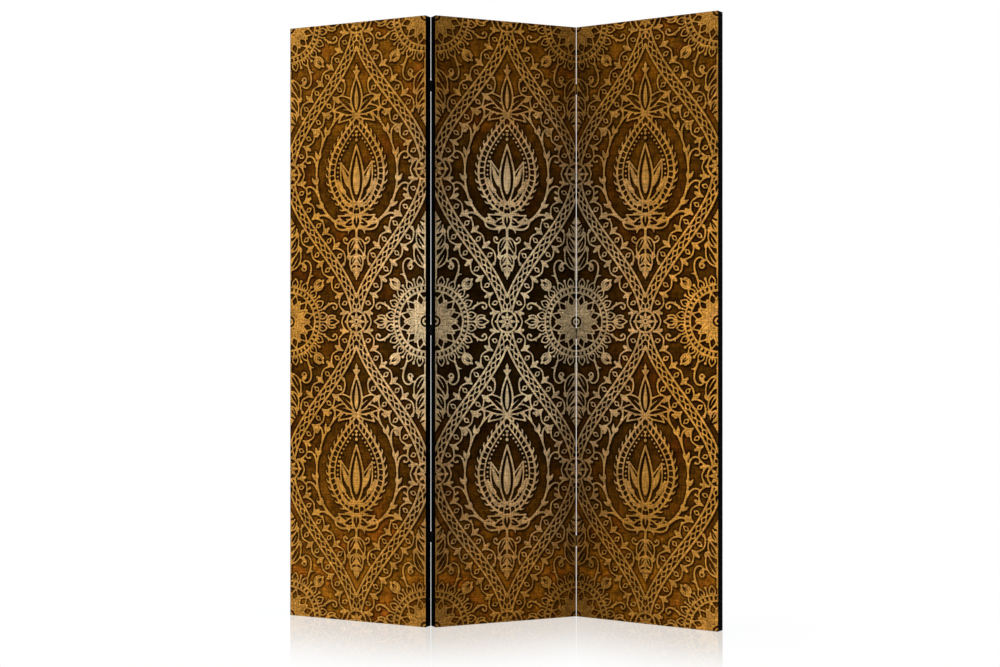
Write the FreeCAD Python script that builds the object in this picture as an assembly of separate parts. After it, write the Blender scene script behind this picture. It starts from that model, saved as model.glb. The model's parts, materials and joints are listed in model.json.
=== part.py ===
"""Folding room divider: three stretched canvas panels on pine frames, joined by two rows of butt hinges.

Millimetres, +Z up. The origin is the centre of the underside of the middle panel, +X runs along that panel
and its printed face looks towards -Y. The left panel folds backwards and the right panel folds forwards.
"""

import FreeCAD, Part
import os

# Panel
panel_width = 450.0
panel_height = 1720.0
bar_thickness = 29.0
stile_width = 40.0
rail_height = 40.0
cross_rail_height = 32.0
cross_rail_thickness = 18.0
cross_rail_height_shares = (1 / 3, 2 / 3)

# Cloth
canvas_thickness = 0.5
hem_width = 28.0
backing_thickness = 0.3
backing_inset = 15.0

# Dowels
dowel_diameter = 8.0
dowel_length = 38.0
dowel_spacing = 18.0
dowel_chamfer = 1.0
dowel_side_clearance = 0.05
dowel_end_clearance = 1.0

# Staples
staple_crown_length = 10.0
staple_wire_width = 0.8
staple_wire_thickness = 0.5
staple_leg_length = 5.0
staple_leg_clearance = 0.05
staple_pitch = 88.0
canvas_staple_inset = 8.0
backing_staple_margin = 6.0

# Hinges
hinge_length = 30.0
leaf_thickness = 0.6
leaf_width = 15.0
leaf_corner_radius = 1.5
leaf_gap_when_flat = 0.2
leaf_seat_clearance = 0.2
pin_diameter = 1.2
pin_running_clearance = 0.05
pin_head_overhang = 0.6
pin_head_height = 0.7
pin_head_gap = 0.1
knuckle_gap = 0.3
knuckle_to_leaf_gap = 0.3
knuckle_to_panel_gap = 0.15
left_hinge_height_shares = (0.1462, 0.4859, 0.8866)
right_hinge_height_shares = (0.1286, 0.4802, 0.8945)

# Screws
screw_diameter = 2.5
screw_length = 16.0
screw_tip_length = 3.5
screw_setback = 10.0
screw_spacing = 15.0
screw_clearance = 0.05
recess_length = 2.4
recess_width = 0.5
recess_depth = 0.6

# Folds, as the panels stand
left_fold_angle = 52.0
right_fold_angle = 59.0

# Cuts run this far past the faces that they open
overrun = 1.0

UP = FreeCAD.Vector(0, 0, 1)
ALONG = FreeCAD.Vector(1, 0, 0)
AWAY = FreeCAD.Vector(0, 1, 0)
HALF_TURN = 180
QUARTER_TURN = 90

# Worked out from the sizes above
half_width = panel_width / 2
half_bar = bar_thickness / 2
timber_half_width = half_width - canvas_thickness
timber_bottom = canvas_thickness
timber_top = panel_height - canvas_thickness
rail_half_length = timber_half_width - stile_width
face_y = half_bar + canvas_thickness
backing_face_y = face_y + backing_thickness

pin_radius = pin_diameter / 2
knuckle_bore_radius = pin_radius + pin_running_clearance
knuckle_radius = knuckle_bore_radius + leaf_thickness
pin_to_side = leaf_thickness + leaf_gap_when_flat / 2 - canvas_thickness
pin_y = face_y + knuckle_radius + knuckle_to_panel_gap
fold_x = half_width + pin_to_side


def box(low, high):
    """A box between two opposite corners."""
    corner = FreeCAD.Vector(*low)
    size = FreeCAD.Vector(*high) - corner
    return Part.makeBox(size.x, size.y, size.z, corner)


def cylinder(radius, start, end):
    """A round bar from one point to another."""
    base = FreeCAD.Vector(*start)
    way = FreeCAD.Vector(*end) - base
    return Part.makeCylinder(radius, way.Length, base, way)


def cone(start_radius, end_radius, start, end):
    """A tapered round bar from one point to another."""
    base = FreeCAD.Vector(*start)
    way = FreeCAD.Vector(*end) - base
    return Part.makeCone(start_radius, end_radius, way.Length, base, way)


def moved(shape, x=0, y=0, z=0):
    """A copy of a shape, shifted."""
    copy = shape.copy()
    copy.translate(FreeCAD.Vector(x, y, z))
    return copy


def turned(shape, centre, axis, angle):
    """A copy of a shape, turned about an axis."""
    copy = shape.copy()
    copy.rotate(FreeCAD.Vector(*centre), axis, angle)
    return copy


def spread(low, high, pitch):
    """Evenly spaced places from low to high, with steps as near to pitch as they divide."""
    steps = max(1, round((high - low) / pitch))
    return [low + (high - low) * i / steps for i in range(steps + 1)]


# Timber frame

def stile_block(side):
    """The plain stile on the side -1 (left) or +1 (right)."""
    near = side * (timber_half_width - stile_width)
    far = side * timber_half_width
    return box((min(near, far), -half_bar, timber_bottom), (max(near, far), half_bar, timber_top))


def rail_block(low_z, height, thickness):
    """A rail between the stiles. A thin one lies level with the back of the frame."""
    return box((-rail_half_length, half_bar - thickness, low_z), (rail_half_length, half_bar, low_z + height))


def rail_layout():
    """Name, lowest height, height and thickness of every rail of a panel."""
    cross_names = ("lower_cross_rail", "upper_cross_rail")
    rails = [
        ("bottom_rail", timber_bottom, rail_height, bar_thickness),
        ("top_rail", timber_top - rail_height, rail_height, bar_thickness),
    ]
    for name, share in zip(cross_names, cross_rail_height_shares):
        low_z = share * panel_height - cross_rail_height / 2
        rails.append((name, low_z, cross_rail_height, cross_rail_thickness))
    return rails


def dowel_places():
    """Centre of every dowel: two across each joint of a rail and a stile."""
    places = []
    for _, low_z, height, thickness in rail_layout():
        for side in (-1, 1):
            for shift in (-dowel_spacing / 2, dowel_spacing / 2):
                places.append((side * rail_half_length, half_bar - thickness / 2, low_z + height / 2 + shift))
    return places


def dowel(place):
    """One dowel along X with chamfered ends."""
    x, y, z = place
    radius = dowel_diameter / 2
    half = dowel_length / 2
    body = cylinder(radius, (x - half + dowel_chamfer, y, z), (x + half - dowel_chamfer, y, z))
    left_end = cone(radius - dowel_chamfer, radius, (x - half, y, z), (x - half + dowel_chamfer, y, z))
    right_end = cone(radius, radius - dowel_chamfer, (x + half - dowel_chamfer, y, z), (x + half, y, z))
    return body.fuse([left_end, right_end]).removeSplitter()


def dowel_hole(place):
    """The hole that a dowel is glued in, in both pieces at once."""
    x, y, z = place
    reach = dowel_length / 2 + dowel_end_clearance
    return cylinder(dowel_diameter / 2 + dowel_side_clearance, (x - reach, y, z), (x + reach, y, z))


# Staples

def staple_row_places(inset):
    """Place and direction of the staples of one row round a panel, at one distance from its edges."""
    side_x = half_width - inset
    low_z = inset
    high_z = panel_height - inset
    corner_gap = staple_crown_length * 2
    places = []
    for z in spread(low_z + corner_gap, high_z - corner_gap, staple_pitch):
        places.append((-side_x, z, "upright"))
        places.append((side_x, z, "upright"))
    for x in spread(-side_x + corner_gap, side_x - corner_gap, staple_pitch):
        places.append((x, low_z, "level"))
        places.append((x, high_z, "level"))
    return places


def staple_shape(grow, crown_y):
    """A staple driven towards -Y with its crown resting on the plane crown_y, grown by a clearance."""
    half_crown = staple_crown_length / 2
    half_wire = staple_wire_width / 2
    top = crown_y + staple_wire_thickness
    tip = top - staple_leg_length
    crown = box((-half_crown, crown_y, -half_wire), (half_crown, top, half_wire))
    legs = []
    for side in (-1, 1):
        inner = side * (half_crown - staple_wire_width)
        outer = side * half_crown
        low_x = min(inner, outer) - grow
        high_x = max(inner, outer) + grow
        legs.append(box((low_x, tip - grow, -half_wire - grow), (high_x, crown_y, half_wire + grow)))
    return crown, legs


def placed_staple(shape, place):
    """A staple's shape at its place."""
    x, z, direction = place
    if direction == "upright":
        shape = turned(shape, (0, 0, 0), AWAY, QUARTER_TURN)
    return moved(shape, x=x, z=z)


def staples(places, crown_y):
    """The staples of one row."""
    crown, legs = staple_shape(0, crown_y)
    whole = crown.fuse(legs).removeSplitter()
    return [placed_staple(whole, place) for place in places]


def staple_holes(places, crown_y):
    """The leg holes of one row."""
    _, legs = staple_shape(staple_leg_clearance, crown_y)
    return [placed_staple(leg, place) for place in places for leg in legs]


# Hinges

def hinge_heights(shares):
    """Height of the middle of each hinge of a fold."""
    return [share * panel_height for share in shares]


def knuckle_spans():
    """Lowest and highest point of the three knuckles, about a hinge's middle."""
    length = (hinge_length - 2 * knuckle_gap) / 3
    starts = [-hinge_length / 2 + i * (length + knuckle_gap) for i in range(3)]
    return [(start, start + length) for start in starts]


def leaf(own, other):
    """A hinge leaf about its pin's axis. Its plate lies against the panel on the -X side and runs towards -Y.

    own and other are the spans of its own knuckles and of the other leaf's.
    """
    half = hinge_length / 2
    plate_near = -leaf_gap_when_flat / 2
    plate_far = plate_near - leaf_thickness
    plate = box((plate_far, -leaf_width, -half), (plate_near, 0, half))
    free_corners = [
        edge for edge in plate.Edges
        if abs(edge.CenterOfMass.y + leaf_width) < leaf_thickness / 2
        and abs(abs(edge.CenterOfMass.z) - half) < leaf_thickness / 2
    ]
    plate = plate.makeFillet(leaf_corner_radius, free_corners)
    knuckles = [cylinder(knuckle_radius, (0, 0, low), (0, 0, high)) for low, high in own]
    notch_y = -(knuckle_radius + knuckle_to_leaf_gap)
    notches = []
    for low, high in other:
        low_end = low - (overrun if low <= -half else knuckle_gap)
        high_end = high + (overrun if high >= half else knuckle_gap)
        notches.append(box((plate_far - overrun, notch_y, low_end), (overrun, knuckle_radius, high_end)))
    body = plate.cut(notches).fuse(knuckles)
    bore = cylinder(knuckle_bore_radius, (0, 0, -half - overrun), (0, 0, half + overrun))
    return body.cut(bore).removeSplitter()


def screw(grow=0):
    """A countersunk screw along -X. Its head is level with the plate's free face, about the pin's axis.

    With a clearance it is the shape of the screw's hole.
    """
    head_x = -leaf_gap_when_flat / 2
    neck_x = head_x - leaf_thickness
    tip_x = head_x - screw_length
    shank_radius = screw_diameter / 2 + grow
    head_radius = screw_diameter / 2 + leaf_thickness + grow
    head = cone(head_radius, shank_radius, (head_x, 0, 0), (neck_x, 0, 0))
    shank = cylinder(shank_radius, (neck_x, 0, 0), (tip_x + screw_tip_length, 0, 0))
    tip = cone(shank_radius, grow, (tip_x + screw_tip_length, 0, 0), (tip_x - grow, 0, 0))
    if grow:
        mouth = cylinder(head_radius, (head_x, 0, 0), (head_x + overrun, 0, 0))
        return head.fuse([shank, tip, mouth])
    half_length = recess_length / 2
    half_slot = recess_width / 2
    slots = [
        box((head_x - recess_depth, -half_length, -half_slot), (head_x + overrun, half_length, half_slot)),
        box((head_x - recess_depth, -half_slot, -half_length), (head_x + overrun, half_slot, half_length)),
    ]
    return head.fuse([shank, tip]).cut(slots).removeSplitter()


def leaf_seat():
    """The opening in the canvas that lets a leaf lie on the wood, about the pin's axis."""
    wood_x = -(pin_to_side + canvas_thickness)
    half = hinge_length / 2 + leaf_seat_clearance
    return box((wood_x, -leaf_width - leaf_seat_clearance, -half), (overrun, overrun, half))


def screw_places():
    """Place of each screw of a leaf about the hinge's middle on the pin's axis."""
    return [(-screw_setback, shift) for shift in (-screw_spacing / 2, screw_spacing / 2)]


def hinge_pin():
    """The pin with a head past each end of the knuckles, about the hinge's middle."""
    half = hinge_length / 2 + pin_head_gap
    head_radius = pin_radius + pin_head_overhang
    shank = cylinder(pin_radius, (0, 0, -half), (0, 0, half))
    heads = [
        cylinder(head_radius, (0, 0, half), (0, 0, half + pin_head_height)),
        cylinder(head_radius, (0, 0, -half - pin_head_height), (0, 0, -half)),
    ]
    return shank.fuse(heads).removeSplitter()


def on_side(shape, side, pin_side, z=0):
    """Moves a shape from the pin's axis to a panel's edge.

    side is the edge, -1 (left) or +1 (right). pin_side is the face that carries the pin, -1 (front) or
    +1 (back). The shape was made for a panel on the -X side of a pin on the +Y side.
    """
    if side * pin_side < 0:
        shape = shape.mirror(FreeCAD.Vector(0, 0, 0), ALONG)
    if pin_side < 0:
        shape = turned(shape, (0, 0, 0), UP, HALF_TURN)
    return moved(shape, x=side * fold_x, y=pin_side * pin_y, z=z)


def screws_on_side(side, pin_side, heights, grow=0):
    """All screws of one edge of a panel, or their holes."""
    return [
        on_side(moved(screw(grow), y=y, z=shift), side, pin_side, z=height)
        for height in heights
        for y, shift in screw_places()
    ]


def seats_on_side(side, pin_side, heights):
    """The openings for all leaves of one edge of a panel."""
    return [on_side(leaf_seat(), side, pin_side, z=height) for height in heights]


# Panels, each about its own centre line

def panel_nodes(hinge_rows):
    """The nodes of one panel.

    hinge_rows gives, for each edge with hinges, the face that carries the pins and the hinges' heights.
    """
    dowels = [dowel(place) for place in dowel_places()]
    dowel_holes = [dowel_hole(place) for place in dowel_places()]
    canvas_row = staple_row_places(canvas_staple_inset)
    backing_row = staple_row_places(backing_inset + backing_staple_margin)
    leg_holes = staple_holes(canvas_row, face_y) + staple_holes(backing_row, backing_face_y)
    screw_holes = []
    seats = []
    for side, (pin_side, heights) in hinge_rows.items():
        screw_holes += screws_on_side(side, pin_side, heights, screw_clearance)
        seats += seats_on_side(side, pin_side, heights)

    nodes = {}
    for name, side in (("left_stile", -1), ("right_stile", 1)):
        nodes[name] = cut_near(stile_block(side), dowel_holes + leg_holes + screw_holes)
    for name, low_z, height, thickness in rail_layout():
        nodes[name] = cut_near(rail_block(low_z, height, thickness), dowel_holes + leg_holes)
    nodes["dowels"] = Part.makeCompound(dowels)

    wrap = box((-half_width, -face_y, 0), (half_width, face_y, panel_height))
    timber = box((-timber_half_width, -half_bar, timber_bottom), (timber_half_width, half_bar, timber_top))
    window_half = half_width - hem_width
    window = box((-window_half, 0, hem_width), (window_half, face_y + overrun, panel_height - hem_width))
    nodes["printed_canvas"] = cut_near(wrap.cut([timber, window]), leg_holes + seats)

    backing_half = half_width - backing_inset
    backing = box(
        (-backing_half, face_y, backing_inset),
        (backing_half, backing_face_y, panel_height - backing_inset),
    )
    nodes["backing_cloth"] = cut_near(backing, leg_holes)
    nodes["canvas_staples"] = Part.makeCompound(staples(canvas_row, face_y))
    nodes["backing_staples"] = Part.makeCompound(staples(backing_row, backing_face_y))
    return nodes


def cut_near(shape, tools):
    """Cuts a shape with those tools that reach into it."""
    bounds = shape.BoundBox
    near = [tool for tool in tools if bounds.intersect(tool.BoundBox)]
    return shape.cut(near) if near else shape


def fold_nodes(fold, side, pin_side, heights):
    """The hinge nodes of one fold, with the outer panel in the plane of the middle one.

    Returns the nodes that stay with the middle panel and those that go with the outer one.
    """
    low, middle, high = knuckle_spans()
    inner_leaf = leaf([low, high], [middle])
    outer_leaf = leaf([middle], [low, high])
    leaf_holes = [moved(screw(screw_clearance), y=y, z=shift) for y, shift in screw_places()]
    inner_leaf = inner_leaf.cut(leaf_holes)
    outer_leaf = outer_leaf.cut(leaf_holes)
    outer_shift = side * 2 * fold_x

    with_middle = {}
    with_outer = {}
    for place, height in zip(("lower", "middle", "upper"), heights):
        name = f"{fold}_{place}_hinge"
        with_middle[f"{name}_inner_leaf"] = on_side(inner_leaf, side, pin_side, height)
        with_middle[f"{name}_pin"] = on_side(hinge_pin(), side, pin_side, height)
        outer = on_side(outer_leaf, -side, pin_side, height)
        with_outer[f"{name}_outer_leaf"] = moved(outer, x=outer_shift)
    with_middle[f"{fold}_inner_screws"] = Part.makeCompound(screws_on_side(side, pin_side, heights))
    outer_screws = Part.makeCompound(screws_on_side(-side, pin_side, heights))
    with_outer[f"{fold}_outer_screws"] = moved(outer_screws, x=outer_shift)
    return with_middle, with_outer


def folded(nodes, side, pin_side, angle):
    """Turns an outer panel's nodes about its fold's pins."""
    centre = (side * fold_x, pin_side * pin_y, 0)
    return {name: turned(shape, centre, UP, -angle) for name, shape in nodes.items()}


def named(prefix, nodes):
    """The same nodes with the panel's name before theirs."""
    return {f"{prefix}_{name}": shape for name, shape in nodes.items()}


def screen_nodes():
    """Every node of the screen as it stands."""
    back, front = 1, -1
    left, right = -1, 1
    left_heights = hinge_heights(left_hinge_height_shares)
    right_heights = hinge_heights(right_hinge_height_shares)
    nodes = named("middle_panel", panel_nodes({left: (back, left_heights), right: (front, right_heights)}))
    folds = (
        ("left", left, back, left_heights, left_fold_angle),
        ("right", right, front, right_heights, right_fold_angle),
    )
    for name, side, pin_side, heights, angle in folds:
        outer_panel = named(f"{name}_panel", panel_nodes({-side: (pin_side, heights)}))
        outer_panel = {node: moved(shape, x=side * 2 * fold_x) for node, shape in outer_panel.items()}
        with_middle, with_outer = fold_nodes(f"{name}_fold", side, pin_side, heights)
        nodes.update(with_middle)
        nodes.update(folded({**outer_panel, **with_outer}, side, pin_side, angle))
    return nodes


os.makedirs("parts", exist_ok=True)
for node_name, node_shape in screen_nodes().items():
    node_shape.exportStep(f"parts/{node_name}.step")
    print(node_name, len(node_shape.Solids), round(node_shape.Volume, 1), node_shape.isValid())
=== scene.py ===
import json
import math

import bpy
import numpy as np
from mathutils import Matrix, Vector, kdtree

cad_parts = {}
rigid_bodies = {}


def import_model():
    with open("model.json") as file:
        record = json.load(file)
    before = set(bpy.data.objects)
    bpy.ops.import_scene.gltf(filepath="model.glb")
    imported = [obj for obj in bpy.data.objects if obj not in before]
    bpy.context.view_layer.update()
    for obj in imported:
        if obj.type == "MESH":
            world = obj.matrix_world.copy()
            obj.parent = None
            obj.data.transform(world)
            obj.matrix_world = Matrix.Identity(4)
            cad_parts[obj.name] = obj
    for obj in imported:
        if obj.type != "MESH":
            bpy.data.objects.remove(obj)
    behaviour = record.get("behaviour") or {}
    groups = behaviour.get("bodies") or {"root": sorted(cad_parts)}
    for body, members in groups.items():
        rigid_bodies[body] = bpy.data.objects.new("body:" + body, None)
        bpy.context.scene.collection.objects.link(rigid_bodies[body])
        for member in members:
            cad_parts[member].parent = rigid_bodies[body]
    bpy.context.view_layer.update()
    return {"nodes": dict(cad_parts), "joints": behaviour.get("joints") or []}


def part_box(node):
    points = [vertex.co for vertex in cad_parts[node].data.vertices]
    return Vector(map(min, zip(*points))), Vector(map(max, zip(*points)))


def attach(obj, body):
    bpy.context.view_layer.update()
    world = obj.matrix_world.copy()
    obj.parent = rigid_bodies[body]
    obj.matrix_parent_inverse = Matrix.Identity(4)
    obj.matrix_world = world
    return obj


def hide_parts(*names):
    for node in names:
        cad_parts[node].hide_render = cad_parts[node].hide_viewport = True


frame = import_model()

TURN = 2 * math.pi
UP = math.pi / 2
METRES = 0.001

# Millimetres in the panels' own coordinates: x across, y towards the back, z up.
PANELS = ("left_panel", "middle_panel", "right_panel")
PANEL_WIDTH = 450
PANEL_HEIGHT = 1720
FACE_Y = 15
EDGE_RADIUS = 0.4
CORNER_RADIUS = 1
CORNER_PULL = 0.2
HEM_WIDTH = 28
HEM_ROUND = 0.4
HEM_CORNER = 2
GRID_COLUMNS = 144
GRID_ROWS = 616
LOOP_ACROSS = 30
LOOP_UP = 110
TOUCH = 0.01

# Along a fold the canvas swells: not within SWELL_END of a hinge, fully past SWELL_START.
SIDE_SWELL = 0.12
FACE_SWELL = 0.6
FACE_SWELL_REACH = 6
SWELL_END = 3
SWELL_START = 8

# Under a hinge leaf it is pressed in, between LEAF_EDGE_Y and the face that the pin is at.
LEAF_PRESS = 0.48
PRESS_REACH = 1.5
PRESS_START = 0.9
PRESS_END = 0.15
LEAF_EDGE_Y = (1, 1.75)

# The backing sinks in the windows between the bars of the frame, given by their ends in z.
BACKING_INSET = 15
BACKING_STEP = 7
BAR_INNER_EDGE = 184.5
WINDOWS = ((40.5, 557.3), (589.3, 1130.7), (1162.7, 1679.5))
STAPLE_REACH = 25

# The ornament repeats every half panel height and mirrors about each panel's middle.
CELL_WIDTH = PANEL_WIDTH
CELL_HEIGHT = PANEL_HEIGHT / 2
CELL_MARGIN = 40
STEP = 1.4
THIN = 1.5
FINE = 1.9
BOLD = 2.6
TRUNK = 4.4
KNOT_RADIUS = 31
FILLING_CLEARANCE = 33
NET_SIZE = 25
SHADOW_SHIFT = (-4, 5)
WEAVE_PITCH = 1.5

# Metres, as Blender takes them.
CAMERA_PLACE = (-2.1587, -4.2981, 0.8216)
CAMERA_YAW = math.radians(24.451)
CAMERA_LENS = 60.230
CAMERA_SHIFT = (0.06, 0.00149)
CAMERA_REACH = 100
FLOOR_SHADE = 0.06
SHADE_REACH = 0.45
SHADE_POWER = 1.6
FLOOR_SHEEN = 0.38
FLOOR_GLOSS = (0.75, 0.87, 1, 1)
SHEEN_START = 0.05
SHEEN_REACH = 0.7
FLOOR_ROUGHNESS = 0.02
FLOOR_PATCH = 2
FLOOR_CELLS = 120
FLOOR_FAR = (3, 5, 9, 16, 30)
WORLD_LIGHT = 0.165
WHITE = (1, 1, 1, 1)
BLACK = (0, 0, 0, 1)
MATT_WHITE = (0.9, 0.9, 0.9, 1)

# Name, place, aim, size and power.
LAMPS = (
    ("key", (-3.8, 0.75, 1.4), (0.1, 0, 0.86), 3.6, 142),
    ("front fill", (0.6, -4.6, 1.6), (0, 0, 0.86), 2.6, 36),
    ("rear fill", (0.5, 4, 2.6), (0, 0, 0.9), 3, 60),
)


# Strokes, which are rows of x, y and half-width


def table(*columns):
    return np.column_stack(columns)


def join(*parts):
    return np.vstack(parts)


def evenly(points):
    """Points a step apart along a line."""
    points = np.asarray(points, float)
    lengths = np.hypot(*np.diff(points, axis=0).T)
    travelled = np.concatenate([[0], np.cumsum(lengths)])
    count = max(2, int(math.ceil(travelled[-1] / STEP)) + 1)
    wanted = np.linspace(0, travelled[-1], count)
    return table(*[np.interp(wanted, travelled, column) for column in points.T])


def smooth_line(points):
    """A smooth line through a few points."""
    p = [np.asarray(q, float) for q in points]
    p = [2 * p[0] - p[1], *p, 2 * p[-1] - p[-2]]
    points_per_span = 20
    t = np.linspace(0, 1, points_per_span, endpoint=False)[:, None]
    parts = []
    for a, b, c, d in zip(p, p[1:], p[2:], p[3:]):
        square = 2 * a - 5 * b + 4 * c - d
        cube = 3 * b - a - 3 * c + d
        parts.append(0.5 * (2 * b + (c - a) * t + square * t**2 + cube * t**3))
    parts.append(p[-2][None, :])
    return evenly(np.concatenate(parts))


def bent_line(start, heading, length, bend_start, bend_end, power=1):
    """A line whose bend goes from the first angle to the second."""
    count = max(6, int(length / STEP))
    t = (np.arange(count) + 0.5) / count
    bend = (bend_start + (bend_end - bend_start) * t**power) / count
    angle = heading + np.cumsum(bend) - bend / 2
    steps = table(np.cos(angle), np.sin(angle)) * length / count
    start = np.asarray(start, float)
    return join(start, start + np.cumsum(steps, axis=0))


def stroke(line, *half):
    """A line with a half-width that goes through the values."""
    half = (*half, half[-1], half[-1])[:3]
    t = np.linspace(0, 1, len(line))
    return table(line, np.interp(t, (0, 0.5, 1), half))


def straight(start, finish, *half):
    return stroke(evenly([start, finish]), *half)


def dot(x, y, radius):
    return np.array([[x, y, radius]])


def polar(radius, angle):
    return radius * math.cos(angle), radius * math.sin(angle)


def around(count, shift=0):
    """Even angles round a circle."""
    return [(i + shift) * TURN / count for i in range(count)]


def circle(radius, count):
    angle = np.linspace(0, TURN, count, endpoint=False)
    return radius * table(np.cos(angle), np.sin(angle))


def ring(radius, half):
    return stroke(circle(radius, max(12, int(TURN * radius / STEP))), half)


def spot(line, part):
    """The point at a part of a line, and the heading there."""
    i = min(len(line) - 2, max(0, int(part * (len(line) - 1))))
    step = line[i + 1] - line[i]
    return line[i], math.atan2(step[1], step[0])


def inside(rows, outline):
    """Which rows lie within a closed outline."""
    x, y = rows[:, 0], rows[:, 1]
    found = np.zeros(len(rows), bool)
    for (ax, ay), (bx, by) in zip(outline, np.roll(outline, -1, axis=0)):
        if ay != by:
            crosses = (ay > y) != (by > y)
            found ^= crosses & (x < (bx - ax) * (y - ay) / (by - ay) + ax)
    return found


def over(front, outline, back):
    """The front strokes, and the back ones outside the outline."""
    return join(back[~inside(back, outline)], front)


def both(rows):
    """The strokes and their mirror image."""
    return join(rows, rows * (-1, 1, 1))


def beside(line):
    """The directions square to a line."""
    step = np.gradient(line, axis=0)
    return table(-step[:, 1], step[:, 0]) / np.hypot(*step.T)[:, None]


def moved(rows, x, y):
    return rows + (x, y, 0)


NONE = np.empty((0, 3))


# The ornament


def barb(start, heading, length, side, half=FINE):
    """A leaflet that tapers and bends to one side."""
    line = bent_line(start, heading, length, side * 0.2, side * 2.4)
    return stroke(line, half * 0.8, half * 1.05, 0.7)


def scroll(start, heading, size, side, half=BOLD, barbs=2, ease=2):
    """A stem curled round a bud, with leaflets on its back."""
    length = size * 5.2
    whole_turn = 5.55
    line = bent_line(start, heading, length, -side * 0.5, side * whole_turn * (ease + 1), ease)
    rows = [stroke(line, half * 1.25, half, half * 0.72), dot(*line[-1], half * 1.5)]
    for i in range(barbs):
        point, way = spot(line, 0.14 + 0.22 * i)
        rows.append(barb(point, way - side * 0.3, size * (0.95 - 0.2 * i), -side, half * 0.85))
    return np.vstack(rows)


def leaf(start, heading, length, width, bend=0, half=FINE, vein=0.6, back=NONE):
    """An outlined leaf, laid over the strokes behind it."""
    middle = bent_line(start, heading, length, bend, bend)
    t = np.linspace(0, 1, len(middle))
    reach = beside(middle) * (width / 2 * np.sin(math.pi * t**0.8)[:, None])
    outline = join(middle + reach, (middle - reach)[::-1])
    rows = stroke(evenly(outline), half)
    if vein:
        rows = join(rows, stroke(middle[:int(len(middle) * vein)], half * 0.95, half * 0.8, 0.6))
    return over(rows, outline, back)


def solid_leaf(start, heading, length, width, bend=0):
    """A leaf filled in one colour."""
    line = bent_line(start, heading, length, bend, bend)
    t = np.linspace(0, 1, len(line))
    return table(line, np.maximum(width / 2 * np.sin(math.pi * t**0.7), 0.6))


def fan(root, heading, bend, leaves, back):
    """Pairs of leaves by lean, length and width, the last in front."""
    for lean, length, width in leaves:
        for side in (-1, 1):
            back = leaf(root, heading - side * lean, length, width, -side * bend, FINE, 0.6, back)
    return back


def fleuron(start, heading, length, width, spread):
    """Three leaves from one point, the middle one in front."""
    rows = NONE
    vein = 0.55
    for side in (-1, 1):
        lean = heading + side * spread
        rows = leaf(start, lean, length * 0.82, width * 0.86, -side * 0.7, FINE, vein, rows)
    return leaf(start, heading, length, width, 0, FINE, vein, rows)


def ogee(inset=0):
    """The right-hand edge of an oval, upwards."""
    v = np.linspace(-0.5, 0.5, 500) * CELL_HEIGHT
    line = table(CELL_WIDTH / 4 * (1 + np.cos(TURN * v / CELL_HEIGHT)), v)
    line = line + beside(line) * inset
    return evenly(line[line[:, 0] > 0])


def band():
    """Two rails round an oval, with a chain of leaves between."""
    core = ogee()
    rail = 13.5
    links = 34
    link_length = 21
    rows = [stroke(ogee(rail), BOLD * 1.1), stroke(ogee(-rail), BOLD * 1.1)]
    for i in range(1, links - 1):
        point, way = spot(core, (i + 0.5) / links)
        rows += [leaf(point - polar(link_length / 2, way), way, link_length, 12.5, 0, THIN, 0),
                 dot(*(point + polar(14.2, way)), 2.6)]
    return both(np.vstack(rows))


def lobes():
    """Lobes with buds and sprigs inside the band, and their outlines."""
    edge = ogee(24)
    rows = []
    outlines = []
    count = 11
    ends = np.linspace(0.10, 0.90, count + 1)
    for a, b in zip(ends, ends[1:]):
        start, finish = spot(edge, a)[0], spot(edge, b)[0]
        chord = finish - start
        out = np.array([-chord[1], chord[0]])
        crest = [start + chord * x + out * y for x, y in ((0.12, 0.2), (0.5, 0.38), (0.88, 0.2))]
        arc = smooth_line([start, *crest, finish])
        rows.append(stroke(arc, BOLD, FINE, BOLD))
        outlines += [arc, arc * (-1, 1)]
        middle, way = spot(edge, (a + b) / 2)
        rows.append(leaf(middle - polar(3, way + UP), way + UP, 17, 11, 0, THIN, 0))
    rows += [dot(*spot(edge, a)[0], 4.6) for a in (ends[0], ends[-1])]
    for a in ends[1:-1]:
        point, way = spot(edge, a)
        tip = point + polar(25, way + UP)
        rows += [straight(point, tip, BOLD, FINE * 0.8, THIN * 0.8), dot(*tip, 3.9)]
        for side in (-1, 1):
            rows.append(barb(point + 0.4 * (tip - point), way + UP - side * 0.7, 14, side, THIN))
    return both(np.vstack(rows)), outlines


def lotus():
    """A fan of petals, with a solid one in each."""
    rows = NONE
    root = (0, -92)
    for s, length, width in ((1.42, 60, 26), (0.98, 96, 34), (0.52, 132, 40)):
        for side in (-1, 1):
            bend = side * 0.45 * s
            rows = leaf(root, UP - side * s, length, width, bend, FINE, 0, rows)
            start, way = spot(bent_line(root, UP - side * s, length, bend, bend), 0.4)
            rows = join(rows, solid_leaf(start, way, length * 0.5, width * 0.36, side * 0.2 * s))
    rows = leaf(root, UP, 168, 46, 0, BOLD, 0, rows)
    buds = [dot(0, y, radius) for y, radius in ((92, 4.6), (105, 3.6), (115, 2.8))]
    return join(rows, solid_leaf((0, -66), UP, 112, 22), *buds)


def almond(outer, inner):
    """A pointed frame with rungs, beads inside and leaflets outside."""
    rows = [stroke(outer, BOLD * 1.15), stroke(inner, FINE)]
    for part in np.linspace(0.04, 0.96, 19):
        rows.append(straight(spot(inner, part)[0], spot(outer, part)[0], THIN))
    for part in np.linspace(0.06, 0.92, 15):
        point, way = spot(outer, part)
        rows.append(barb(point, way - 1, 21, 1, FINE))
    for part in np.linspace(0.10, 0.95, 19):
        point, way = spot(inner, part)
        rows.append(dot(*(point + polar(9.5, way + UP)), 2.7))
    return both(np.vstack(rows))


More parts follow.
